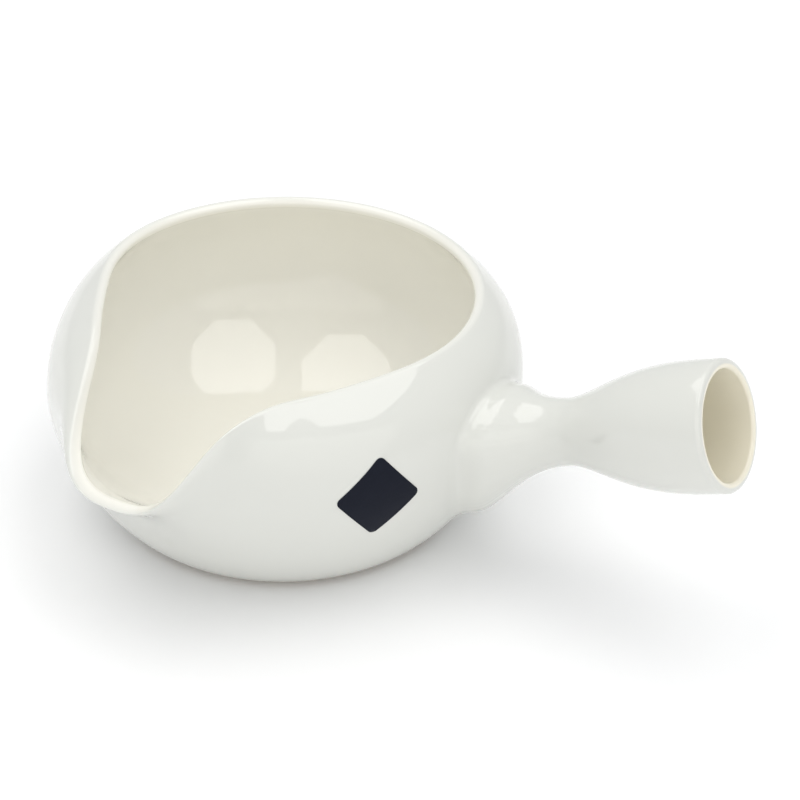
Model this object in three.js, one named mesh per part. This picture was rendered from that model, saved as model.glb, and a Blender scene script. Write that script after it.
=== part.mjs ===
// Side-handled pouring bowl for Japanese tea: a low, open bowl of glazed ceramic with a drawn-out
// pouring lip, a hollow trumpet handle luted to its wall and a small blank paper label.
// Millimetres. +Z is up and the origin is the middle of the foot, on the table.
// The handle leaves along +X and the lip pours along -Y, a quarter turn away from it.
import * as THREE from "three";

// Foot and wall of the bowl
const FOOT_RADIUS = 40;
const FOOT_HEIGHT = 1.3;
const FOOT_BEVEL = 0.5;
const HEEL_RADIUS = 42.2;
const HEEL_SLOPE = 37;
const HEEL_PULL = 4.5;
const BOWL_RADIUS = 57.5;
const BELLY_HEIGHT = 35;
const BELLY_PULL_DOWN = 16.5;
const BELLY_PULL_UP = 11;
const WALL_THICKNESS = 3.4;
const FLOOR_THICKNESS = 4.8;
const FLOOR_RADIUS = 2;
const FLOOR_PULL = 35;
const INNER_PULL_DOWN = 13;

// Mouth and rim
const RIM_HEIGHT = 56.6;
const MOUTH_RADIUS = 45;
const RIM_THICKNESS = 3.2;
const SHOULDER_SLOPE = 50;
const SHOULDER_PULL = 7.5;
const UNDERCUT = 2.4;
const UNDERCUT_DEPTH = 3.6;
const RIM_SLOPES = [85, 120, 150];

// Pouring lip, drawn out of the mouth. Turns are degrees away from the middle of the lip.
const LIP_DIRECTION = -90;
const LIP_REACH = 22;
const LIP_TURN = 21;
const LIP_SHARPNESS = 3;
const LIP_DROP = 15;
const CHANNEL_TURN = 14.6;
const CHANNEL_SHARPNESS = 3.6;
const LIP_START_HEIGHT = 14;
const MOUTH_SAG = 4.6;
const SAG_TURN = 62;
const PINCH_DEPTH = 2.3;
const PINCH_POSITION = 56;
const PINCH_TURN = 24;
const FAR_LIP_TURN = 23.6;
const FAR_LIP_SHARPNESS = 2.5;
const FAR_CHANNEL_TURN = 24;
const FAR_CHANNEL_SHARPNESS = 2.9;
const FAR_PINCH_DEPTH = 3.1;
const FAR_PINCH_POSITION = 60.5;
const SOFT = 2;

// Handle, measured along its axis from where that axis meets the wall
const HANDLE_HEIGHT = 34;
const HANDLE_TILT = 20.5;
const HANDLE_LENGTH = 58.5;
const NECK_POSITION = 19.5;
const NECK_RADIUS = 7.7;
const NECK_EASE = 7;
const SWELL_POSITION = 34;
const SWELL_RADIUS = 14.8;
const FULL_POSITION = 52;
const END_RADIUS = 14.8;
const END_ROUNDING = 1;
const HANDLE_WALL = 2.4;
const NECK_WALL = 3;
const ROOT_HOLLOW = 7;

// Root of the handle: an oval on the wall, reaching further down than up. The flare leaves the
// wall and arrives at the neck smoothly, each pull being a share of its length.
const ROOT_HALF_WIDTH = 16;
const ROOT_REACH_UP = 12;
const ROOT_REACH_DOWN = 23.5;
const ROOT_PULL = 0.36;
const NECK_PULL = 0.42;
const ROOT_EDGE = 0.8;
const ROOT_LIFT = 6;
const SLIP_THICKNESS = 0.6;
const CLEARANCE = 0.3;

// Label: a square with rounded corners, turned to stand on one of them
const LABEL_DIRECTION = -36.5;
const LABEL_HEIGHT = 32;
const LABEL_SIDE = 14.8;
const LABEL_TURN = 40;
const LABEL_SQUARENESS = 10;
const LABEL_THICKNESS = 0.2;

// Fineness of the faces
const BOWL_SEGMENTS = 88;
const LIP_FINENESS = 0.4;
const HANDLE_SEGMENTS = 32;
const LABEL_SEGMENTS = 40;
const LOWER_STEPS = 8;
const UPPER_STEPS = 7;
const UNDERCUT_STEPS = 7;
const FLOOR_STEPS = 11;
const ROOT_STEPS = 4;
const FLARE_STEPS = 8;
const TRUMPET_STEPS = 11;
const BORE_STEPS = 9;
const HOLLOW_STEPS = 3;
const LABEL_STEPS = 3;
const BISECTIONS = 40;

// Finish
const GLAZE_ROUGHNESS = 0.12;
const SLIP_ROUGHNESS = 0.6;
const LABEL_ROUGHNESS = 0.55;

const { degToRad, radToDeg, euclideanModulo, lerp } = THREE.MathUtils;
const flat = (radius, height) => new THREE.Vector2(radius, height);
const shares = (count) => Array.from({ length: count + 1 }, (_, step) => step / count);

// Outer wall of the bowl before the lip is drawn out: radius and height up to the rim
const rimRadius = RIM_THICKNESS / 2;
const rimMiddle = flat(MOUTH_RADIUS + rimRadius, RIM_HEIGHT - rimRadius);

function rimPoint(slope) {
  const angle = degToRad(slope);
  return flat(rimMiddle.x + rimRadius * Math.cos(angle), rimMiddle.y + rimRadius * Math.sin(angle));
}

function lowerWall() {
  const heel = flat(HEEL_RADIUS, FOOT_HEIGHT);
  const slope = degToRad(HEEL_SLOPE);
  const heelPull = heel.clone().add(flat(Math.cos(slope), Math.sin(slope)).multiplyScalar(HEEL_PULL));
  const bellyPull = flat(BOWL_RADIUS, BELLY_HEIGHT - BELLY_PULL_DOWN);
  return new THREE.CubicBezierCurve(heel, heelPull, bellyPull, flat(BOWL_RADIUS, BELLY_HEIGHT));
}

function upperWall() {
  const slope = degToRad(SHOULDER_SLOPE);
  const top = rimPoint(SHOULDER_SLOPE);
  const shoulder = flat(top.x + SHOULDER_PULL * Math.sin(slope), top.y - SHOULDER_PULL * Math.cos(slope));
  const bellyPull = flat(BOWL_RADIUS, BELLY_HEIGHT + BELLY_PULL_UP);
  return new THREE.CubicBezierCurve(flat(BOWL_RADIUS, BELLY_HEIGHT), bellyPull, shoulder, top);
}

const lower = lowerWall();
const upper = upperWall();

// Inner wall: undercut below the crisp inner edge of the rim, then rounding down to the floor
function innerWall() {
  const edge = flat(MOUTH_RADIUS, rimMiddle.y);
  const belly = flat(BOWL_RADIUS - WALL_THICKNESS, BELLY_HEIGHT);
  const edgePull = flat(MOUTH_RADIUS + UNDERCUT, rimMiddle.y - UNDERCUT_DEPTH);
  const up = new THREE.CubicBezierCurve(edge, edgePull, flat(belly.x, BELLY_HEIGHT + BELLY_PULL_UP), belly);
  const down = flat(belly.x, BELLY_HEIGHT - INNER_PULL_DOWN);
  const floor = flat(FLOOR_RADIUS, FLOOR_THICKNESS);
  const floorPull = flat(FLOOR_RADIUS + FLOOR_PULL, FLOOR_THICKNESS);
  return [up, new THREE.CubicBezierCurve(belly, down, floorPull, floor)];
}

// Height of the wall to how far along a curve it comes: every wall curve climbs steadily
function alongAtHeight(curve, height) {
  let low = 0;
  let high = 1;
  for (let step = 0; step < BISECTIONS; step += 1) {
    const middle = (low + high) / 2;
    if (curve.getPoint(middle).y < height) low = middle;
    else high = middle;
  }
  return (low + high) / 2;
}

// What drawing out the lip does to the mouth at an angle round the bowl
const bump = (turn, width, power) => Math.exp(-((Math.abs(turn) / width) ** power));

function mouthChange(angle) {
  const signedTurn = euclideanModulo(radToDeg(angle) - LIP_DIRECTION + 180, 360) - 180;
  const turn = Math.abs(signedTurn);
  const isFar = signedTurn < 0;
  const lip = isFar
    ? bump(turn, FAR_LIP_TURN, FAR_LIP_SHARPNESS)
    : bump(turn, LIP_TURN, LIP_SHARPNESS);
  const channel = isFar
    ? bump(turn, FAR_CHANNEL_TURN, FAR_CHANNEL_SHARPNESS)
    : bump(turn, CHANNEL_TURN, CHANNEL_SHARPNESS);
  const pinch = isFar
    ? FAR_PINCH_DEPTH * bump(turn - FAR_PINCH_POSITION, PINCH_TURN, SOFT)
    : PINCH_DEPTH * bump(turn - PINCH_POSITION, PINCH_TURN, SOFT);
  const sag = MOUTH_SAG * bump(turn, SAG_TURN, SOFT);
  return {
    out: LIP_REACH * lip - pinch,
    down: LIP_DROP * channel + sag,
  };
}

// The wall follows the mouth more the higher it is
function drawnOut(point, angle, height = point.y) {
  const share = Math.max(0, (height - LIP_START_HEIGHT) / (rimMiddle.y - LIP_START_HEIGHT)) ** SOFT;
  const change = mouthChange(angle);
  const radius = point.x + share * change.out;
  const z = point.y - share * change.down;
  return new THREE.Vector3(radius * Math.cos(angle), radius * Math.sin(angle), z);
}

// A point that stands off the outer wall by lift, at an angle and a height of the undrawn wall
function wallPoint(angle, height, lift) {
  const curve = height < BELLY_HEIGHT ? lower : upper;
  const along = alongAtHeight(curve, height);
  const point = curve.getPoint(along);
  const tangent = curve.getTangent(along);
  const lifted = flat(point.x + lift * tangent.y, point.y - lift * tangent.x);
  return drawnOut(lifted, angle, height);
}

// A closed skin over rings of points that run anticlockwise seen from outside. A ring of one point
// is a pole. Without poles the last ring joins the first one.
function skin(rings) {
  const positions = [];
  const starts = rings.map((ring) => {
    const start = positions.length / 3;
    ring.forEach((point) => positions.push(point.x, point.y, point.z));
    return start;
  });
  const faces = [];
  const isLoop = rings[0].length > 1;
  const bands = isLoop ? rings.length : rings.length - 1;
  for (let band = 0; band < bands; band += 1) {
    const other = (band + 1) % rings.length;
    const count = Math.max(rings[band].length, rings[other].length);
    const here = (step) => starts[band] + (step % rings[band].length);
    const there = (step) => starts[other] + (step % rings[other].length);
    for (let step = 0; step < count; step += 1) {
      if (rings[band].length > 1) faces.push(here(step), here(step + 1), there(step + 1));
      if (rings[other].length > 1) faces.push(here(step), there(step + 1), there(step));
    }
  }
  const geometry = new THREE.BufferGeometry();
  geometry.setAttribute("position", new THREE.Float32BufferAttribute(positions, 3));
  geometry.setIndex(faces);
  geometry.computeVertexNormals();
  return geometry;
}

function ringOf(segments, place) {
  return Array.from({ length: segments }, (_, step) => place((2 * Math.PI * step) / segments));
}

// The faces of the bowl are narrower where the lip bends it most
function bowlRing(point) {
  return ringOf(BOWL_SEGMENTS, (turn) => {
    return drawnOut(point, degToRad(LIP_DIRECTION) + turn - LIP_FINENESS * Math.sin(turn));
  });
}

function bowlGeometry() {
  const [innerUp, innerDown] = innerWall();
  const foot = [
    flat(FOOT_RADIUS - FOOT_BEVEL, 0),
    flat(FOOT_RADIUS, FOOT_BEVEL),
    flat(FOOT_RADIUS, FOOT_HEIGHT),
  ];
  const outside = [...lower.getPoints(LOWER_STEPS), ...upper.getPoints(UPPER_STEPS).slice(1)];
  const inside = [...innerUp.getPoints(UNDERCUT_STEPS), ...innerDown.getPoints(FLOOR_STEPS).slice(1)];
  const rings = [...foot, ...outside, ...RIM_SLOPES.map(rimPoint), ...inside].map(bowlRing);
  const bottom = new THREE.Vector3(0, 0, 0);
  const floor = new THREE.Vector3(0, 0, FLOOR_THICKNESS);
  return skin([[bottom], ...rings, [floor]]);
}

// Handle frame: its axis starts on the wall and climbs outwards
const handleStart = wallPoint(0, HANDLE_HEIGHT, 0);
const handleAxis = new THREE.Vector3(Math.cos(degToRad(HANDLE_TILT)), 0, Math.sin(degToRad(HANDLE_TILT)));
const handleSide = new THREE.Vector3(0, 1, 0);
const handleTop = new THREE.Vector3().crossVectors(handleAxis, handleSide);

function handlePoint(along, radius, turn) {
  return handleStart
    .clone()
    .addScaledVector(handleAxis, along)
    .addScaledVector(handleSide, radius * Math.cos(turn))
    .addScaledVector(handleTop, radius * Math.sin(turn));
}

// A point over the root of the handle: share 0 is the edge of its hollow, share 1 the edge of its
// oval foot on the wall, and lift stands it off the wall
function rootPoint(share, turn, lift) {
  const reach = Math.sin(turn) > 0 ? ROOT_REACH_UP : ROOT_REACH_DOWN;
  const sideways = lerp(ROOT_HOLLOW, ROOT_HALF_WIDTH, share) * Math.cos(turn);
  const climb = lerp(ROOT_HOLLOW, reach, share) * Math.sin(turn);
  return wallPoint(sideways / BOWL_RADIUS, HANDLE_HEIGHT + climb, lift);
}

const slipOuter = CLEARANCE + SLIP_THICKNESS;
const handleSeat = slipOuter + CLEARANCE;

// The flare sweeps from the edge of the root, close to the wall, into the neck
function flare(turn) {
  const edge = rootPoint(1, turn, handleSeat + ROOT_EDGE);
  const neck = handlePoint(NECK_POSITION, NECK_RADIUS, turn);
  const length = edge.distanceTo(neck);
  const inward = rootPoint(0.5, turn, handleSeat + ROOT_EDGE + ROOT_LIFT).sub(edge).normalize();
  const edgePull = edge.clone().addScaledVector(inward, ROOT_PULL * length);
  const neckPull = neck.clone().addScaledVector(handleAxis, -NECK_PULL * length);
  return new THREE.CubicBezierCurve3(edge, edgePull, neckPull, neck);
}

// The trumpet swells from the neck to its full radius
function trumpet(neckWall, endWall) {
  return new THREE.CubicBezierCurve(
    flat(NECK_POSITION, NECK_RADIUS - neckWall),
    flat(NECK_POSITION + NECK_EASE, NECK_RADIUS - neckWall),
    flat(SWELL_POSITION, SWELL_RADIUS - endWall),
    flat(FULL_POSITION, END_RADIUS - endWall),
  );
}

// The end of the handle: a softly rounded outer edge and a flat face round the hollow
function endProfile() {
  const middle = flat(HANDLE_LENGTH - END_ROUNDING, END_RADIUS - END_ROUNDING);
  const edge = shares(2).map((share) => {
    const angle = (share * Math.PI) / 2;
    return flat(middle.x + END_ROUNDING * Math.sin(angle), middle.y + END_ROUNDING * Math.cos(angle));
  });
  return [...edge, flat(HANDLE_LENGTH, END_RADIUS - HANDLE_WALL)];
}

// The handle's skin runs over its root face, out along the flare and the trumpet, round the end
// and back through the hollow
function handleGeometry() {
  const ring = (place) => ringOf(HANDLE_SEGMENTS, place);
  const root = shares(ROOT_STEPS).map((share) => ring((turn) => rootPoint(share, turn, handleSeat)));
  const sweep = shares(FLARE_STEPS).slice(0, -1);
  const flareRings = sweep.map((share) => ring((turn) => flare(turn).getPoint(share)));
  const outside = trumpet(0, 0).getPoints(TRUMPET_STEPS);
  const bore = trumpet(NECK_WALL, HANDLE_WALL).getPoints(BORE_STEPS).reverse();
  const profile = [...outside, ...endProfile(), ...bore];
  const turned = profile.map((point) => ring((turn) => handlePoint(point.x, point.y, turn)));
  const hollow = (turn, share) => {
    const boreEnd = handlePoint(NECK_POSITION, NECK_RADIUS - NECK_WALL, turn);
    return boreEnd.lerp(rootPoint(0, turn, handleSeat), share);
  };
  const inward = shares(HOLLOW_STEPS).slice(1, -1);
  const hollowRings = inward.map((share) => ring((turn) => hollow(turn, share)));
  return skin([...root, ...flareRings, ...turned, ...hollowRings]);
}

// The slip of clay between the wall and the handle follows the whole root
function slipGeometry() {
  const layer = (share, lift) => ringOf(HANDLE_SEGMENTS, (turn) => rootPoint(share, turn, lift));
  const below = shares(ROOT_STEPS).map((share) => layer(share, CLEARANCE));
  const above = shares(ROOT_STEPS).map((share) => layer(share, slipOuter));
  return skin([...below, ...above.reverse()]);
}

// A point of the label: its outline at size 1, a superellipse, is close to a rounded square
function labelPoint(size, turn, lift) {
  const round = (value) => Math.sign(value) * Math.abs(value) ** (2 / LABEL_SQUARENESS);
  const corner = flat(round(Math.cos(turn)), round(Math.sin(turn))).multiplyScalar((size * LABEL_SIDE) / 2);
  corner.rotateAround(flat(0, 0), degToRad(LABEL_TURN));
  return wallPoint(degToRad(LABEL_DIRECTION) + corner.x / BOWL_RADIUS, LABEL_HEIGHT + corner.y, lift);
}

function labelGeometry() {
  const outer = CLEARANCE + LABEL_THICKNESS;
  const layer = (size, lift) => ringOf(LABEL_SEGMENTS, (turn) => labelPoint(size, turn, lift));
  const sizes = shares(LABEL_STEPS).slice(1);
  const back = sizes.map((size) => layer(size, CLEARANCE));
  const front = sizes.map((size) => layer(size, outer));
  const middle = (lift) => [labelPoint(0, 0, lift)];
  return skin([middle(CLEARANCE), ...back, ...front.reverse(), middle(outer)]);
}

const finish = (color, roughness) => new THREE.MeshStandardMaterial({ color, roughness, metalness: 0 });

function part(name, geometry, material) {
  const mesh = new THREE.Mesh(geometry, material);
  mesh.name = name;
  return mesh;
}

const pouringBowl = new THREE.Group();
pouringBowl.add(
  part("bowl", bowlGeometry(), finish(0xf0efe6, GLAZE_ROUGHNESS)),
  part("handle", handleGeometry(), finish(0xf0efe8, GLAZE_ROUGHNESS)),
  part("luting_slip", slipGeometry(), finish(0xe6e3d6, SLIP_ROUGHNESS)),
  part("label", labelGeometry(), finish(0x1e222e, LABEL_ROUGHNESS)),
);

export default pouringBowl;
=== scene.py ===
"""A side-handled pouring bowl for Japanese tea, in white glaze, with a blank dark label.

The bowl is turned first, and then a rule draws its pouring lip out of the mouth. The hollow handle
grows out of the finished wall, and the label is wrapped on it. Sizes are in metres and angles in
degrees. +Z is up, the handle leaves along +X and the lip pours along -Y.
"""
from math import cos, pi, radians, sin, tanh

import bpy
from mathutils import Matrix, Vector
from mathutils.bvhtree import BVHTree
from mathutils.interpolate import poly_3d_calc


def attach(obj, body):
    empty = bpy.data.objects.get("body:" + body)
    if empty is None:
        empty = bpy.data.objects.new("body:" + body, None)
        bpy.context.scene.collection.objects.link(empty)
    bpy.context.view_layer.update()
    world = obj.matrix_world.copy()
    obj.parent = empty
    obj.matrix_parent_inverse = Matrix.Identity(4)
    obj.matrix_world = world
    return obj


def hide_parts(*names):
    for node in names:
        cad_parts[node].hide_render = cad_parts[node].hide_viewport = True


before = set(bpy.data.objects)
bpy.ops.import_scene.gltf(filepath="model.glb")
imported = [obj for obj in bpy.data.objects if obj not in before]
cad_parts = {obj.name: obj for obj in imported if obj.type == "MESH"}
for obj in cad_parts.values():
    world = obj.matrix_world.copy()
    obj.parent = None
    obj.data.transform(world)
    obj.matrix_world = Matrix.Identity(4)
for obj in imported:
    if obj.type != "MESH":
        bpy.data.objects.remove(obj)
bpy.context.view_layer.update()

# Foot and wall of the turned bowl
FOOT_RADIUS = 0.0400
FOOT_HEIGHT = 0.0013
FOOT_BEVEL = 0.0005
HEEL_RADIUS = 0.0422
HEEL_SLOPE = 37
HEEL_PULL = 0.0045
BOWL_RADIUS = 0.0575
BELLY_HEIGHT = 0.0350
BELLY_PULL_DOWN = 0.0165
BELLY_PULL_UP = 0.0110
WALL_THICKNESS = 0.0034
FLOOR_THICKNESS = 0.0048
FLOOR_RADIUS = 0.0020
FLOOR_PULL = 0.0350
INNER_PULL_DOWN = 0.0130

# Mouth and rim
RIM_HEIGHT = 0.0566
MOUTH_RADIUS = 0.0450
RIM_RADIUS = 0.0016
RIM_MIDDLE = Vector((MOUTH_RADIUS + RIM_RADIUS, RIM_HEIGHT - RIM_RADIUS))
SHOULDER_SLOPE = 50
SHOULDER_PULL = 0.0075
INNER_EDGE_SLOPE = 160
INNER_EDGE_DROP = 0.0004
INNER_EDGE_SHARE = 0.08
UNDERCUT = 0.0024
UNDERCUT_DEPTH = 0.0036

# Pouring lip: widths are turns round the bowl, away from the middle of the lip
LIP_DIRECTION = -90
LIP_REACH = 0.0220
LIP_WIDTH = 21
LIP_SHARPNESS = 3
LIP_DROP = 0.0150
CHANNEL_WIDTH = 14.6
CHANNEL_SHARPNESS = 3.6
LIP_START_HEIGHT = 0.0140
LIP_THINNING = 0.0009
SAG_DEPTH = 0.0046
SAG_WIDTH = 62
PINCH_DEPTH = 0.0023
PINCH_PLACE = 56
PINCH_WIDTH = 24
FAR_LIP_WIDTH = 23.6
FAR_LIP_SHARPNESS = 2.5
FAR_CHANNEL_WIDTH = 24
FAR_CHANNEL_SHARPNESS = 2.9
FAR_PINCH_DEPTH = 0.0031
FAR_PINCH_PLACE = 60.5
SOFT_SHARPNESS = 2
FOLLOW_POWER = 2

# Handle, measured along its axis from the wall
HANDLE_HEIGHT = 0.0340
HANDLE_TILT = 20.5
HANDLE_LENGTH = 0.0585
NECK_PLACE = 0.0195
NECK_RADIUS = 0.0077
NECK_EASE = 0.0070
SWELL_PLACE = 0.0340
FULL_PLACE = 0.0520
END_RADIUS = 0.01463
OUTER_END_ROUNDING = 0.0011
INNER_END_ROUNDING = 0.0008
HANDLE_WALL = 0.0024
NECK_WALL = 0.0030
HOLLOW_RADIUS = 0.0070

# Root of the handle: an oval on the wall, with a fillet round it
ROOT_HALF_WIDTH = 0.0160
ROOT_REACH_UP = 0.0120
ROOT_REACH_DOWN = 0.0235
ROOT_BLEND = 2.6
ROOT_PULL = 0.36
NECK_PULL = 0.42
ROOT_AIM = 0.5
ROOT_LIFT = 0.0060
ROOT_SEAT = 0.0020
FILLET_START = 1.16
FILLET_END = 0.26
FILLET_PULL = 0.45
FILLET_SINK = 0.000012
WALL_AHEAD = 0.04
FLARE_AHEAD = 0.01
ROOT_SINK = 0.0003
SUNK_SHARES = (0, 0.6, 1.1)

# Label: a square of coated paper with rounded corners, standing on one of them
LABEL_DIRECTION = -36.5
LABEL_HEIGHT = 0.0320
LABEL_SIDE = 0.0148
LABEL_CORNER = 0.0015
LABEL_TURN = 40
LABEL_THICKNESS = 0.00014
LABEL_BEVEL = 0.00005
GLUE_LINE = 0.00001

# Fineness of the skins
BOWL_STEPS = 400
LIP_FINENESS = 0.4
HANDLE_STEPS = 160
WALL_STEPS = 34
RIM_STEP = 5
INNER_EDGE_STEPS = 5
FLARE_STEPS = 26
FILLET_STEPS = 16
TRUMPET_STEPS = 36
END_STEP = 15
LABEL_STEPS = 8
SIDE_STEPS = 14
CORNER_STEPS = 8
SHARP_ANGLE = 38

# Tints of the glaze, thin and thick: outside, inside the bowl and in the hollow of the handle. Inside the
# bowl and in the hollow they are painted light: lighter and warmer than outside, for the light bounced
# round in them.
OUTER_THIN = (0.705, 0.712, 0.675, 1)
OUTER_THICK = (0.670, 0.677, 0.638, 1)
# Painted light: the same glaze drawn lighter and warmer inside the bowl
INNER_THIN_PAINTED_LIGHT = (0.880, 0.868, 0.805, 1)
INNER_THICK_PAINTED_LIGHT = (0.850, 0.836, 0.765, 1)
# Painted light: the hollow of the handle drawn a lighter, deeper cream
HOLLOW_PAINTED_LIGHT_TINT = (0.840, 0.800, 0.670, 1)

# Surface of the glaze
GLAZE_SPECULAR = 0.66
BOWL_ROUGHNESS = 0.045
HANDLE_ROUGHNESS = 0.05
LEAST_ROUGH = 0.65
ROUGH_SPREAD = 0.7
CLOUD_SIZE = 0.035
POOL_SIZE = 0.009
WAVE_HEIGHT = 0.000006
PEEL_SIZE = 0.0012
PEEL_HEIGHT = 0.0000012
GLAZE_END = 0.0002
RAGGED_SIZE = 0.003
RAGGED_DEPTH = 0.0006

# Bare clay of the foot
CLAY_DARK = (0.56, 0.51, 0.43, 1)
CLAY_LIGHT = (0.70, 0.66, 0.58, 1)
CLAY_ROUGHNESS = 0.78
TOOL_RING = 0.0011
TOOL_RING_HEIGHT = 0.000012
GRAIN_SIZE = 0.0004
GRAIN_HEIGHT = 0.00004

# Paper of the label, and its paler core along the cut
INK_DARK = (0.0045, 0.0065, 0.0140, 1)
INK_LIGHT = (0.0075, 0.0095, 0.0190, 1)
PAPER_CORE = (0.20, 0.21, 0.24, 1)
CORE_SHARE = 0.35
PAPER_ROUGHNESS = 0.34
PAPER_WEAR = 0.2
PAPER_SPECULAR = 0.12
FIBRE_SIZE = 0.0005
FIBRE_HEIGHT = 0.000006
WEAR_SIZE = 0.004

# Camera: how it stands to the bowl, and where it sees the middle of the foot in the picture
PICTURE = 800
FOCAL_LENGTH = 90.0
SENSOR = 36.0
VIEW_TURN = 28.81
VIEW_ELEVATION = 32.1
VIEW_ROLL = 1.15
VIEW_DISTANCE = 0.50125
FOOT_COLUMN = 286.67
FOOT_ROW = 483.57

# Two softboxes, put where the glaze inside the bowl mirrors them: middle and half width there
LEFT_GLINT = (234, 361, 45)
RIGHT_GLINT = (345, 378, 47)
SOFTBOX_DISTANCE = 1.1
SOFTBOX_SIDES = 8
SOFTBOX_POWER = 2.4
LAMP_TINT = (1, 0.995, 0.98, 1)
SKY_POWER = 0.72
SKY_TINT = (0.98, 0.99, 1.0, 1)

# The table lies a hair below the foot, so the two never share a plane
TABLE_GAP = 0.00004
TABLE_REACH = 4.0
TABLE_COOL = (0.93, 0.935, 0.945, 1)
TABLE_WARM = (0.95, 0.95, 0.955, 1)
TABLE_CLOUD_SIZE = 0.2
TABLE_ROUGHNESS = 0.85
TABLE_SPECULAR = 0.1

# Big soft panel behind the camera, that fills the front
FILL_ELEVATION = 24
FILL_DISTANCE = 1.5
FILL_WIDTH = 3.2
FILL_HEIGHT = 1.4
FILL_POWER = 1.2

SQUARE = [(-1, -1), (1, -1), (1, 1), (-1, 1)]


# Skins

def flat(radius, height):
    """A point in the plane that a profile is drawn in."""
    return Vector((radius, height))


def direction(angle):
    """A unit vector in the plane, at an angle in degrees."""
    return Vector((cos(radians(angle)), sin(radians(angle))))


def bezier(points, share):
    """The point at a share of the way along the curve that these points pull."""
    while len(points) > 1:
        points = [a.lerp(b, share) for a, b in zip(points, points[1:])]
    return points[0]


def curve(points, steps, start=0.0, end=1.0):
    return [bezier(points, start + (end - start) * step / steps) for step in range(steps + 1)]


def skin(name, rings, is_loop=False, **marks):
    """A closed mesh over rings of points that run anticlockwise seen from outside.

    A ring of one point is a pole. Without poles the last ring joins the first. Each mark is an
    attribute with one value for each ring.
    """
    starts = [0]
    for ring in rings:
        starts.append(starts[-1] + len(ring))
    faces = []
    for band in range(len(rings) if is_loop else len(rings) - 1):
        other = (band + 1) % len(rings)
        here, there = len(rings[band]), len(rings[other])
        for step in range(max(here, there)):
            below = [starts[band] + step % here, starts[band] + (step + 1) % here]
            above = [starts[other] + (step + 1) % there, starts[other] + step % there]
            faces.append(list(dict.fromkeys(below + above)))
    mesh = bpy.data.meshes.new(name)
    mesh.from_pydata([point for ring in rings for point in ring], [], faces)
    mesh.shade_smooth()
    mesh.set_sharp_from_angle(angle=radians(SHARP_ANGLE))
    for mark, values in marks.items():
        attribute = mesh.attributes.new(mark, "FLOAT", "POINT")
        attribute.data.foreach_set("value", [v for ring, v in zip(rings, values) for _ in ring])
    return mesh


def ring(steps, place):
    """A ring of points, where place gives the point at a turn in radians."""
    return [place(2 * pi * step / steps) for step in range(steps)]


def add_piece(name, mesh):
    made = bpy.data.objects.new(name, mesh)
    bpy.context.scene.collection.objects.link(made)
    return made


# Node trees

def calculate(tree, operation, *values):
    """A maths node's result. Each value is a number or the result of another node."""
    node = tree.nodes.new("ShaderNodeMath")
    node.operation = operation
    for socket, value in zip(node.inputs, values):
        feed(tree, socket, value)
    return node.outputs[0]


def feed(tree, socket, value):
    if isinstance(value, bpy.types.NodeSocket):
        tree.links.new(value, socket)
    else:
        socket.default_value = value


def feed_all(tree, node, values):
    """Feeds a node's inputs, by name or number."""
    for name, value in values.items():
        feed(tree, node.inputs[name], value)


def add_node(tree, kind, inputs=(), **settings):
    """A node with its settings made and its inputs fed."""
    node = tree.nodes.new(kind)
    for name, value in settings.items():
        setattr(node, name, value)
    feed_all(tree, node, dict(inputs))
    return node


def new_group(name, kind, inputs, outputs):
    """A node group with its sockets, its inputs by name, and the node that takes its outputs."""
    group = bpy.data.node_groups.new(name, kind)
    for side, sockets in (("INPUT", inputs), ("OUTPUT", outputs)):
        for socket, value_type in sockets.items():
            group.interface.new_socket(socket, in_out=side, socket_type="NodeSocket" + value_type)
    source = group.nodes.new("NodeGroupInput")
    return group, source.outputs, group.nodes.new("NodeGroupOutput")


# The bowl

def rim_point(slope):
    return RIM_MIDDLE + RIM_RADIUS * direction(slope)


def turned_profile():
    """Radius and height round the turned bowl, from under the foot to the floor inside, and how
    far inside the mouth each point lies."""
    belly = flat(BOWL_RADIUS, BELLY_HEIGHT)
    heel = flat(HEEL_RADIUS, FOOT_HEIGHT)
    heel_pull = heel + HEEL_PULL * direction(HEEL_SLOPE)
    belly_down = flat(BOWL_RADIUS, BELLY_HEIGHT - BELLY_PULL_DOWN)
    belly_up = flat(BOWL_RADIUS, BELLY_HEIGHT + BELLY_PULL_UP)
    top = rim_point(SHOULDER_SLOPE)
    shoulder = top + SHOULDER_PULL * direction(SHOULDER_SLOPE - 90)
    outside = [
        flat(FOOT_RADIUS - FOOT_BEVEL, 0),
        flat(FOOT_RADIUS, FOOT_BEVEL),
        flat(FOOT_RADIUS, FOOT_HEIGHT),
        *curve([heel, heel_pull, belly_down, belly], WALL_STEPS),
        *curve([belly, belly_up, shoulder, top], WALL_STEPS)[1:],
    ]
    slopes = range(SHOULDER_SLOPE + RIM_STEP, INNER_EDGE_SLOPE, RIM_STEP)
    rim = [rim_point(slope) for slope in slopes]

    inner_belly = belly - flat(WALL_THICKNESS, 0)
    edge = flat(MOUTH_RADIUS, RIM_MIDDLE.y)
    edge_pull = edge + flat(UNDERCUT, -UNDERCUT_DEPTH)
    undercut = [edge, edge_pull, belly_up - flat(WALL_THICKNESS, 0), inner_belly]
    down = inner_belly - flat(0, INNER_PULL_DOWN)
    middle = flat(FLOOR_RADIUS, FLOOR_THICKNESS)
    floor = [inner_belly, down, middle + flat(FLOOR_PULL, 0), middle]
    crisp_end = bezier(undercut, INNER_EDGE_SHARE)
    crisp = [rim_point(INNER_EDGE_SLOPE), edge - flat(0, INNER_EDGE_DROP), crisp_end]
    inside = [
        *curve(crisp, INNER_EDGE_STEPS),
        *curve(undercut, WALL_STEPS, start=INNER_EDGE_SHARE)[1:],
        *curve(floor, WALL_STEPS)[1:],
    ]
    marks = [0.0] * len(outside) + [step / len(rim) for step in range(len(rim))] + [1.0] * len(inside)
    return outside + rim + inside, marks


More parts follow.
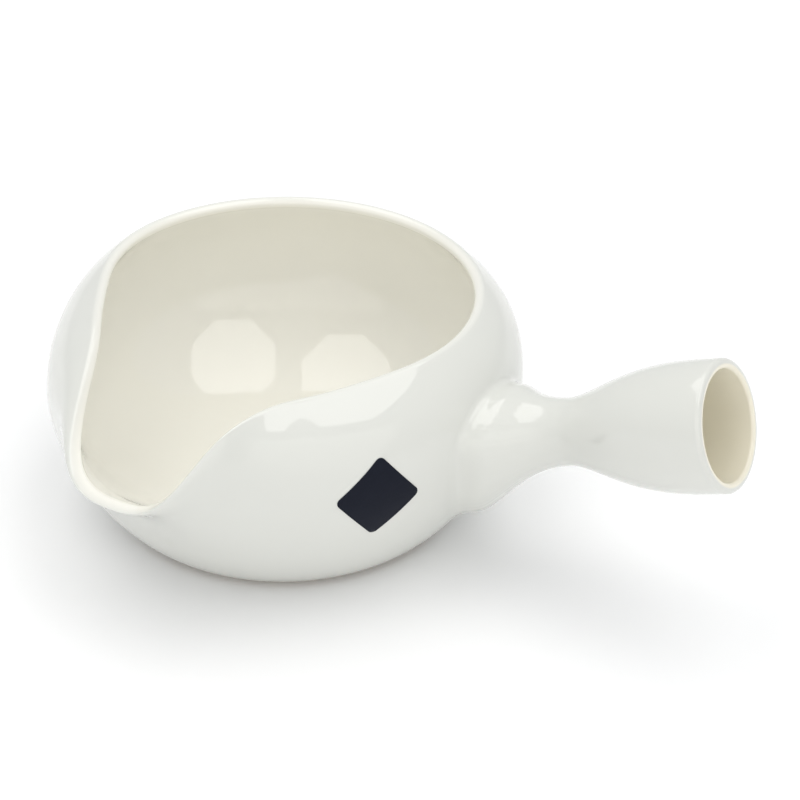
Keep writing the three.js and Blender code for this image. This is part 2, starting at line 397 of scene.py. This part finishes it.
def turned_bowl():
    """The bowl as it leaves the wheel. Its faces are narrower where the lip will bend it most."""
    def place(point, turn):
        angle = radians(LIP_DIRECTION) + turn - LIP_FINENESS * sin(turn)
        return Vector((point.x * cos(angle), point.x * sin(angle), point.y))

    profile, inside = turned_profile()
    rings = [ring(BOWL_STEPS, lambda turn, point=point: place(point, turn)) for point in profile]
    poles = [Vector((0, 0, 0))], [Vector((0, 0, FLOOR_THICKNESS))]
    return skin("turned_bowl", [poles[0], *rings, poles[1]], inside=[0.0, *inside, 1.0])


def swell_group():
    """1 in the middle of a width of turn, fading to 0 past it, the steeper the sharper."""
    inputs = {"Turn": "Float", "Width": "Float", "Sharpness": "Float"}
    group, given, result = new_group("Swell", "GeometryNodeTree", inputs, {"Swell": "Float"})
    share = calculate(group, "DIVIDE", calculate(group, "ABSOLUTE", given["Turn"]), given["Width"])
    fade = calculate(group, "POWER", share, given["Sharpness"])
    swell = calculate(group, "EXPONENT", calculate(group, "MULTIPLY", fade, -1.0))
    group.links.new(swell, result.inputs["Swell"])
    return group


LIP_SIZES = {
    "Direction": LIP_DIRECTION, "Reach": LIP_REACH, "Drop": LIP_DROP, "Thinning": LIP_THINNING,
    "Start height": LIP_START_HEIGHT, "Rim height": RIM_MIDDLE.y,
    "Sag depth": SAG_DEPTH, "Sag width": SAG_WIDTH, "Pinch width": PINCH_WIDTH,
    "Near width": LIP_WIDTH, "Far width": FAR_LIP_WIDTH,
    "Near sharpness": LIP_SHARPNESS, "Far sharpness": FAR_LIP_SHARPNESS,
    "Near channel width": CHANNEL_WIDTH, "Far channel width": FAR_CHANNEL_WIDTH,
    "Near channel sharpness": CHANNEL_SHARPNESS, "Far channel sharpness": FAR_CHANNEL_SHARPNESS,
    "Near pinch depth": PINCH_DEPTH, "Far pinch depth": FAR_PINCH_DEPTH,
    "Near pinch place": PINCH_PLACE, "Far pinch place": FAR_PINCH_PLACE,
}


def drawn_lip_tree():
    """Draws the mouth out and down into a lip, pinches it on both sides and lets it sag round it.
    The lip is wider and softer on its far side, away from the handle.

    The wall follows the mouth more the higher it is. The lip is drawn thinner than the rim.
    """
    inputs = {"Geometry": "Geometry", **{name: "Float" for name in LIP_SIZES}, "Glaze": "Material"}
    tree, given, result = new_group("Drawn lip", "GeometryNodeTree", inputs, {"Geometry": "Geometry"})
    swell = swell_group()

    def swollen(turn, width, sharpness):
        sizes = {"Turn": turn, "Width": width, "Sharpness": sharpness}
        return add_node(tree, "GeometryNodeGroup", sizes, node_tree=swell).outputs["Swell"]

    place = tree.nodes.new("GeometryNodeInputPosition").outputs["Position"]
    x, y, z = add_node(tree, "ShaderNodeSeparateXYZ", {"Vector": place}).outputs
    angle = calculate(tree, "ARCTAN2", y, x)
    away = calculate(tree, "SUBTRACT", angle, calculate(tree, "RADIANS", given["Direction"]))
    signed = calculate(tree, "WRAP", away, pi, -pi)
    turn = calculate(tree, "DEGREES", calculate(tree, "ABSOLUTE", signed))
    is_far = calculate(tree, "LESS_THAN", signed, 0.0)

    def by_side(size):
        near, far = given["Near " + size], given["Far " + size]
        return calculate(tree, "MULTIPLY_ADD", is_far, calculate(tree, "SUBTRACT", far, near), near)

    lip = swollen(turn, by_side("width"), by_side("sharpness"))
    channel = swollen(turn, by_side("channel width"), by_side("channel sharpness"))
    sag = swollen(turn, given["Sag width"], SOFT_SHARPNESS)
    from_pinch = calculate(tree, "SUBTRACT", turn, by_side("pinch place"))
    pinch = swollen(from_pinch, given["Pinch width"], SOFT_SHARPNESS)

    is_inside = add_node(tree, "GeometryNodeInputNamedAttribute", {"Name": "inside"}, data_type="FLOAT")
    thinning = calculate(tree, "MULTIPLY", is_inside.outputs["Attribute"], given["Thinning"])
    drawn = calculate(tree, "MULTIPLY", lip, calculate(tree, "ADD", given["Reach"], thinning))
    pinched = calculate(tree, "MULTIPLY", pinch, by_side("pinch depth"))
    out = calculate(tree, "SUBTRACT", drawn, pinched)
    drop = calculate(tree, "MULTIPLY", channel, given["Drop"])
    down = calculate(tree, "ADD", drop, calculate(tree, "MULTIPLY", sag, given["Sag depth"]))

    climb = calculate(tree, "SUBTRACT", z, given["Start height"])
    whole = calculate(tree, "SUBTRACT", given["Rim height"], given["Start height"])
    share = calculate(tree, "MAXIMUM", calculate(tree, "DIVIDE", climb, whole), 0.0)
    follow = calculate(tree, "POWER", share, FOLLOW_POWER)
    out = calculate(tree, "MULTIPLY", out, follow)
    move = {
        "X": calculate(tree, "MULTIPLY", out, calculate(tree, "COSINE", angle)),
        "Y": calculate(tree, "MULTIPLY", out, calculate(tree, "SINE", angle)),
        "Z": calculate(tree, "MULTIPLY", calculate(tree, "MULTIPLY", down, follow), -1.0),
    }
    offset = add_node(tree, "ShaderNodeCombineXYZ", move).outputs["Vector"]
    moved = add_node(tree, "GeometryNodeSetPosition", {"Geometry": given["Geometry"], "Offset": offset})
    real = add_node(tree, "GeometryNodeRealizeInstances", {"Geometry": moved.outputs["Geometry"]})
    dressed = {"Geometry": real.outputs["Geometry"], "Material": given["Glaze"]}
    glazed = add_node(tree, "GeometryNodeSetMaterial", dressed)
    tree.links.new(glazed.outputs["Geometry"], result.inputs["Geometry"])
    return tree


def make_bowl(glaze):
    """The turned bowl with its lip drawn out, as a plain mesh."""
    wheel = add_piece("turned_bowl", turned_bowl())
    modifier = wheel.modifiers.new("Drawn lip", "NODES")
    modifier.node_group = drawn_lip_tree()
    sizes = {**LIP_SIZES, "Glaze": glaze}
    for item in modifier.node_group.interface.items_tree:
        if item.in_out == "INPUT" and item.name in sizes:
            modifier[item.identifier] = sizes[item.name]
    depsgraph = bpy.context.evaluated_depsgraph_get()
    mesh = bpy.data.meshes.new_from_object(
        wheel.evaluated_get(depsgraph), preserve_all_data_layers=True, depsgraph=depsgraph
    )
    bpy.data.objects.remove(wheel)
    mesh.name = "bowl_body"
    return add_piece("bowl_body", mesh)


class Wall:
    """The finished bowl, asked where its faces are."""

    def __init__(self, bowl):
        self.mesh = bowl.data
        places = [vertex.co for vertex in self.mesh.vertices]
        self.tree = BVHTree.FromPolygons(places, [face.vertices for face in self.mesh.polygons])

    def point(self, angle, height, lift=0.0):
        """A point of the outer wall, at an angle in radians and a height, lifted off the wall."""
        outwards = Vector((cos(angle), sin(angle), 0))
        start = 2 * BOWL_RADIUS * outwards + Vector((0, 0, height))
        place, normal, _, _ = self.tree.ray_cast(start, -outwards)
        return place + lift * normal

    def mirror(self, start, sight):
        """Where a line of sight meets the glaze, the way it goes on and whether it is inside."""
        place, _, index, _ = self.tree.ray_cast(start, sight)
        corners = [self.mesh.vertices[corner] for corner in self.mesh.polygons[index].vertices]
        weights = poly_3d_calc([corner.co for corner in corners], place)
        normal = sum((w * corner.normal for w, corner in zip(weights, corners)), Vector())
        is_inside = normal.xy.dot(place.xy) < 0
        return place, sight.reflect(normal.normalized()), is_inside


# The handle

def rounded_edge(middle, radius, slopes):
    """Points round the middle of a rounding, at slopes in degrees."""
    return [middle + radius * direction(slope) for slope in slopes]


class Handle:
    """The hollow trumpet, flared out to an oval root that runs smoothly into the bowl's wall."""

    def __init__(self, wall):
        self.wall = wall
        self.start = wall.point(0, HANDLE_HEIGHT)
        self.axis = Vector((cos(radians(HANDLE_TILT)), 0, sin(radians(HANDLE_TILT))))
        self.side = Vector((0, 1, 0))
        self.top = self.axis.cross(self.side)

    def point(self, along, radius, turn):
        around = self.side * cos(turn) + self.top * sin(turn)
        return self.start + along * self.axis + radius * around

    def root(self, share, turn, lift=0.0):
        """Over the root: share 0 is the edge of the hollow, share 1 the edge of the oval."""
        upper = (1 + tanh(ROOT_BLEND * sin(turn))) / 2
        reach = ROOT_REACH_DOWN + upper * (ROOT_REACH_UP - ROOT_REACH_DOWN)
        sideways = (HOLLOW_RADIUS + share * (ROOT_HALF_WIDTH - HOLLOW_RADIUS)) * cos(turn)
        climb = (HOLLOW_RADIUS + share * (reach - HOLLOW_RADIUS)) * sin(turn)
        return self.wall.point(sideways / BOWL_RADIUS, HANDLE_HEIGHT + climb, lift)

    def flare(self, turn):
        """The four points that pull the flare from the edge of the oval to the neck."""
        edge = self.root(1, turn, ROOT_SEAT)
        neck = self.point(NECK_PLACE, NECK_RADIUS, turn)
        length = (neck - edge).length
        inward = (self.root(ROOT_AIM, turn, ROOT_SEAT + ROOT_LIFT) - edge).normalized()
        return [edge, edge + ROOT_PULL * length * inward, neck - NECK_PULL * length * self.axis, neck]

    def fillet(self, turn):
        """The points that pull the fillet: it leaves along the wall and ends along the flare."""
        wall = self.root(FILLET_START, turn, -FILLET_SINK)
        along_wall = (self.root(FILLET_START - WALL_AHEAD, turn, -FILLET_SINK) - wall).normalized()
        flare = self.flare(turn)
        end = bezier(flare, FILLET_END)
        along_flare = (bezier(flare, FILLET_END + FLARE_AHEAD) - end).normalized()
        pull = FILLET_PULL * (end - wall).length
        return [wall, wall + pull * along_wall, end - pull * along_flare, end]

    def trumpet(self, neck_wall, end_wall):
        return [
            flat(NECK_PLACE, NECK_RADIUS - neck_wall),
            flat(NECK_PLACE + NECK_EASE, NECK_RADIUS - neck_wall),
            flat(SWELL_PLACE, END_RADIUS - end_wall),
            flat(FULL_PLACE, END_RADIUS - end_wall),
        ]

    def outer_profile(self):
        """Along the outside from the neck to the flat of the end."""
        middle = flat(HANDLE_LENGTH - OUTER_END_ROUNDING, END_RADIUS - OUTER_END_ROUNDING)
        end = rounded_edge(middle, OUTER_END_ROUNDING, range(90, -1, -END_STEP))
        return curve(self.trumpet(0, 0), TRUMPET_STEPS) + end

    def hollow_profile(self):
        """From the flat of the end back along the hollow to the neck."""
        edge = END_RADIUS - HANDLE_WALL + INNER_END_ROUNDING
        middle = flat(HANDLE_LENGTH - INNER_END_ROUNDING, edge)
        end = rounded_edge(middle, INNER_END_ROUNDING, range(0, -91, -END_STEP))
        return end + curve(self.trumpet(NECK_WALL, HANDLE_WALL), TRUMPET_STEPS)[::-1]

    def mesh(self):
        def around(place):
            return ring(HANDLE_STEPS, place)

        def rings_of(profile):
            return [around(lambda turn, p=point: self.point(p.x, p.y, turn)) for point in profile]

        flares = []
        for turn in around(float):
            start = curve(self.fillet(turn), FILLET_STEPS)[:-1]
            flares.append(start + curve(self.flare(turn), FLARE_STEPS, start=FILLET_END)[:-1])
        sunk = [around(lambda turn, s=share: self.root(s, turn, -ROOT_SINK)) for share in SUNK_SHARES]
        outside = [*sunk, *map(list, zip(*flares)), *rings_of(self.outer_profile())]
        hollow = rings_of(self.hollow_profile())
        inside = [0.0] * len(outside) + [1.0] * len(hollow)
        return skin("handle_body", outside + hollow, is_loop=True, inside=inside)


# The label

def label_outline():
    """The outline of the label, anticlockwise: four sides and four rounded corners."""
    straight = LABEL_SIDE / 2 - LABEL_CORNER
    outline = []
    for quarter in range(4):
        turned = Matrix.Rotation(quarter * pi / 2, 2)
        side = [flat(LABEL_SIDE / 2, straight * (2 * step / SIDE_STEPS - 1)) for step in range(SIDE_STEPS)]
        bend = [90 * step / CORNER_STEPS for step in range(CORNER_STEPS)]
        corner = [flat(straight, straight) + LABEL_CORNER * direction(slope) for slope in bend]
        outline += [turned @ point for point in side + corner]
    return outline


def label_mesh(wall):
    """A sheet on the wall, with its front edge a little rounded."""
    standing = Matrix.Rotation(radians(LABEL_TURN), 2)
    outline = [standing @ point for point in label_outline()]

    def layer(size, lift):
        places = [size * point for point in outline] if size else [flat(0, 0)]
        middle = radians(LABEL_DIRECTION)
        return [wall.point(middle + p.x / BOWL_RADIUS, LABEL_HEIGHT + p.y, lift) for p in places]

    front = GLUE_LINE + LABEL_THICKNESS
    trim = 1 - 2 * LABEL_BEVEL / LABEL_SIDE
    sizes = [step / LABEL_STEPS for step in range(LABEL_STEPS)]
    back = [layer(size, GLUE_LINE) for size in [*sizes, 1]]
    face = [layer(1, front - LABEL_BEVEL)] + [layer(size, front) for size in [trim, *reversed(sizes)]]
    cut = [0.0] * len(sizes) + [1.0, 1.0] + [0.0] * (len(sizes) + 1)
    return skin("label_sheet", back + face, cut=cut)


# Finishes

def object_place(tree):
    return tree.nodes.new("ShaderNodeTexCoord").outputs["Object"]


def noise(tree, place, size, detail=2.0):
    """A noise with features of about a size in metres, from 0 to 1."""
    inputs = {"Vector": place, "Scale": 1 / size, "Detail": detail}
    return add_node(tree, "ShaderNodeTexNoise", inputs).outputs["Fac"]


def blend(tree, share, first, second):
    """A colour between two."""
    node = add_node(tree, "ShaderNodeMix", {"Factor": share}, data_type="RGBA")
    feed(tree, node.inputs[6], first)
    feed(tree, node.inputs[7], second)
    return node.outputs[2]


def bumped(tree, height):
    """The normal of a face that rises by a height in metres."""
    inputs = {"Height": height, "Distance": 1.0, "Strength": 1.0}
    return add_node(tree, "ShaderNodeBump", inputs).outputs["Normal"]


def glaze_group():
    """What every glazed face shows: clouded colour, uneven gloss, fine peel and slow waves."""
    inputs = {"Thin tint": "Color", "Thick tint": "Color", "Roughness": "Float", "Waves": "Float"}
    outputs = {"Color": "Color", "Roughness": "Float", "Normal": "Vector"}
    group, given, result = new_group("Glaze", "ShaderNodeTree", inputs, outputs)
    place = object_place(group)
    clouds = noise(group, place, CLOUD_SIZE, detail=3.0)
    pools = noise(group, place, POOL_SIZE)
    peel = noise(group, place, PEEL_SIZE)

    color = blend(group, clouds, given["Thin tint"], given["Thick tint"])
    uneven = calculate(group, "MULTIPLY_ADD", pools, ROUGH_SPREAD, LEAST_ROUGH)
    roughness = calculate(group, "MULTIPLY", uneven, given["Roughness"])
    waves = calculate(group, "MULTIPLY", pools, given["Waves"])
    height = calculate(group, "ADD", waves, calculate(group, "MULTIPLY", peel, PEEL_HEIGHT))
    shown = {"Color": color, "Roughness": roughness, "Normal": bumped(group, height)}
    feed_all(group, result, shown)
    return group


def new_material(name):
    material = bpy.data.materials.new(name)
    material.use_nodes = True
    tree = material.node_tree
    return material, tree, tree.nodes["Principled BSDF"]


def place_glaze(tree, group, thin, thick, roughness):
    sizes = {"Thin tint": thin, "Thick tint": thick, "Roughness": roughness, "Waves": WAVE_HEIGHT}
    return add_node(tree, "ShaderNodeGroup", sizes, node_tree=group).outputs


def bare_clay(tree, place):
    """The unglazed foot: grainy fired clay with the fine rings of the turning tool."""
    x, y, _ = add_node(tree, "ShaderNodeSeparateXYZ", {"Vector": place}).outputs
    squares = calculate(tree, "MULTIPLY_ADD", x, x, calculate(tree, "MULTIPLY", y, y))
    radius = calculate(tree, "SQRT", squares)
    rings = calculate(tree, "SINE", calculate(tree, "MULTIPLY", radius, 2 * pi / TOOL_RING))
    grain = noise(tree, place, GRAIN_SIZE, detail=3.0)
    rough = calculate(tree, "MULTIPLY", grain, GRAIN_HEIGHT)
    height = calculate(tree, "MULTIPLY_ADD", rings, TOOL_RING_HEIGHT, rough)
    return blend(tree, grain, CLAY_DARK, CLAY_LIGHT), bumped(tree, height)


def bowl_glaze(group):
    """White glaze that stops above the bare foot, painted lighter and warmer inside the bowl for the light
    bounced round in it.
    """
    material, tree, shader = new_material("White glaze on the bowl")
    inside = add_node(tree, "ShaderNodeAttribute", attribute_name="inside").outputs["Fac"]
    # Inside the bowl the tints are painted light, lighter and warmer for the light bounced round in it
    thin = blend(tree, inside, OUTER_THIN, INNER_THIN_PAINTED_LIGHT)
    thick = blend(tree, inside, OUTER_THICK, INNER_THICK_PAINTED_LIGHT)
    glaze = place_glaze(tree, group, thin, thick, BOWL_ROUGHNESS)

    place = object_place(tree)
    height = add_node(tree, "ShaderNodeSeparateXYZ", {"Vector": place}).outputs["Z"]
    ragged = calculate(tree, "MULTIPLY_ADD", noise(tree, place, RAGGED_SIZE), -RAGGED_DEPTH, height)
    ends = {"Value": ragged, "From Min": FOOT_HEIGHT - GLAZE_END, "From Max": FOOT_HEIGHT}
    glazed = add_node(tree, "ShaderNodeMapRange", ends).outputs["Result"]
    clay, clay_normal = bare_clay(tree, place)
    roughness = {"Factor": glazed, "A": CLAY_ROUGHNESS, "B": glaze["Roughness"]}
    normals = {"Factor": glazed, 4: clay_normal, 5: glaze["Normal"]}
    feed_all(tree, shader, {
        "Base Color": blend(tree, glazed, clay, glaze["Color"]),
        "Roughness": add_node(tree, "ShaderNodeMix", roughness).outputs["Result"],
        "Normal": add_node(tree, "ShaderNodeMix", normals, data_type="VECTOR").outputs[1],
        "Specular IOR Level": GLAZE_SPECULAR,
    })
    return material


def handle_glaze(group):
    """The same glaze, a little thinner on the handle, painted a lighter, deeper cream in the hollow for
    the light bounced round inside it.
    """
    material, tree, shader = new_material("White glaze on the handle")
    inside = add_node(tree, "ShaderNodeAttribute", attribute_name="inside").outputs["Fac"]
    # In the hollow the tint is painted light, a lighter, deeper cream for the light bounced round inside
    thin = blend(tree, inside, OUTER_THIN, HOLLOW_PAINTED_LIGHT_TINT)
    thick = blend(tree, inside, OUTER_THICK, HOLLOW_PAINTED_LIGHT_TINT)
    glaze = place_glaze(tree, group, thin, thick, HANDLE_ROUGHNESS)
    feed_all(tree, shader, {
        "Base Color": glaze["Color"],
        "Roughness": glaze["Roughness"],
        "Normal": glaze["Normal"],
        "Specular IOR Level": GLAZE_SPECULAR,
    })
    return material


def label_paper():
    """Dark coated paper with faint fibres, and its paler core along the cut edge."""
    material, tree, shader = new_material("Dark label paper")
    place = object_place(tree)
    fibres = noise(tree, place, FIBRE_SIZE, detail=4.0)
    wear = noise(tree, place, WEAR_SIZE)
    ink = blend(tree, fibres, INK_DARK, INK_LIGHT)
    cut = add_node(tree, "ShaderNodeAttribute", attribute_name="cut").outputs["Fac"]
    edge = calculate(tree, "MULTIPLY", cut, CORE_SHARE)
    feed_all(tree, shader, {
        "Base Color": blend(tree, edge, ink, PAPER_CORE),
        "Roughness": calculate(tree, "MULTIPLY_ADD", wear, PAPER_WEAR, PAPER_ROUGHNESS),
        "Normal": bumped(tree, calculate(tree, "MULTIPLY", fibres, FIBRE_HEIGHT)),
        "Specular IOR Level": PAPER_SPECULAR,
    })
    return material


# The studio

def set_camera():
    """The camera of the picture, and the function that gives its line of sight at a point."""
    turn = Matrix.Rotation(radians(VIEW_TURN), 3, "Z")
    low = radians(VIEW_ELEVATION)
    sight = turn @ Vector((0, cos(low), -sin(low)))
    level = turn @ Vector((1, 0, 0))
    rise = level.cross(sight)
    right = cos(radians(VIEW_ROLL)) * level + sin(radians(VIEW_ROLL)) * rise
    up = right.cross(sight)
    focal = FOCAL_LENGTH / SENSOR * PICTURE

    def sight_at(column, row):
        return sight + (column - PICTURE / 2) / focal * right - (row - PICTURE / 2) / focal * up

    data = bpy.data.cameras.new("camera")
    data.lens, data.sensor_width = FOCAL_LENGTH, SENSOR
    data.clip_start, data.clip_end = 0.01, 20
    camera = add_piece("camera", data)
    location = -VIEW_DISTANCE * sight_at(FOOT_COLUMN, FOOT_ROW)
    camera.matrix_world = Matrix.LocRotScale(location, Matrix((right, up, -sight)).transposed(), None)
    bpy.context.scene.camera = camera
    return location, sight_at


def glowing(name, power):
    material, tree, _ = new_material(name)
    lamp = add_node(tree, "ShaderNodeEmission", {"Strength": power, "Color": LAMP_TINT})
    tree.links.new(lamp.outputs["Emission"], tree.nodes["Material Output"].inputs["Surface"])
    return material


def add_softbox(name, wall, eye, sight_at, glint, light):
    """An eight-sided softbox, of the place and shape that the glaze mirrors as a regular one."""
    column, row, radius = glint
    place, away, _ = wall.mirror(eye, sight_at(column, row).normalized())
    middle = place + SOFTBOX_DISTANCE * away
    seen = []
    for side in range(SOFTBOX_SIDES):
        aside = radius * direction(360 * (side + 0.5) / SOFTBOX_SIDES)
        start, way, is_inside = wall.mirror(eye, sight_at(column + aside.x, row + aside.y).normalized())
        corner = start + (middle - start).dot(away) / way.dot(away) * way
        seen.append(corner if is_inside else None)
    half = SOFTBOX_SIDES // 2
    corners = [corner or 2 * middle - seen[side - half] for side, corner in enumerate(seen)]
    mesh = bpy.data.meshes.new(name)
    mesh.from_pydata(corners, [], [range(SOFTBOX_SIDES)])
    mesh.materials.append(light)
    add_piece(name, mesh)


def add_fill(light):
    """The panel that fills the front of the bowl from behind the camera."""
    around = Matrix.Rotation(radians(VIEW_TURN - 90), 3, "Z")
    away = around @ direction(FILL_ELEVATION).to_3d().xzy
    turned = away.to_track_quat("Z", "Y").to_matrix()
    half = Vector((FILL_WIDTH / 2, FILL_HEIGHT / 2, 0))
    corners = [FILL_DISTANCE * away + turned @ Vector((x * half.x, y * half.y, 0)) for x, y in SQUARE]
    mesh = bpy.data.meshes.new("fill_panel")
    mesh.from_pydata(corners, [], [range(4)])
    mesh.materials.append(light)
    add_piece("fill_panel", mesh)


def add_floor():
    """A plain white table that reaches past every view."""
    material, tree, shader = new_material("White table")
    clouds = noise(tree, object_place(tree), TABLE_CLOUD_SIZE)
    feed_all(tree, shader, {
        "Base Color": blend(tree, clouds, TABLE_COOL, TABLE_WARM),
        "Roughness": TABLE_ROUGHNESS,
        "Specular IOR Level": TABLE_SPECULAR,
    })
    mesh = bpy.data.meshes.new("table_top")
    corners = [(TABLE_REACH * x, TABLE_REACH * y, -TABLE_GAP) for x, y in SQUARE]
    mesh.from_pydata(corners, [], [range(4)])
    mesh.materials.append(material)
    add_piece("table_top", mesh)


def set_sky():
    """Soft white light from everywhere."""
    world = bpy.data.worlds.new("Studio light")
    world.use_nodes = True
    background = world.node_tree.nodes["Background"]
    background.inputs["Color"].default_value = SKY_TINT
    background.inputs["Strength"].default_value = SKY_POWER
    bpy.context.scene.world = world
    bpy.context.scene.view_settings.view_transform = "Standard"


# The object and its picture

glaze = glaze_group()
bowl = make_bowl(bowl_glaze(glaze))
wall = Wall(bowl)

handle = add_piece("handle_body", Handle(wall).mesh())
handle.data.materials.append(handle_glaze(glaze))

label = add_piece("label_sheet", label_mesh(wall))
label.data.materials.append(label_paper())

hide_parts("bowl")
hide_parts("handle", "luting_slip")
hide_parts("label")
for piece, finish in ((bowl, "bowl_glaze"), (handle, "handle_glaze"), (label, "label_paper")):
    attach(piece, "root")

eye, sight_at = set_camera()
light = glowing("Softbox cloth", SOFTBOX_POWER)
add_softbox("left_softbox", wall, eye, sight_at, LEFT_GLINT, light)
add_softbox("right_softbox", wall, eye, sight_at, RIGHT_GLINT, light)
add_fill(glowing("Fill cloth", FILL_POWER))
add_floor()
set_sky()
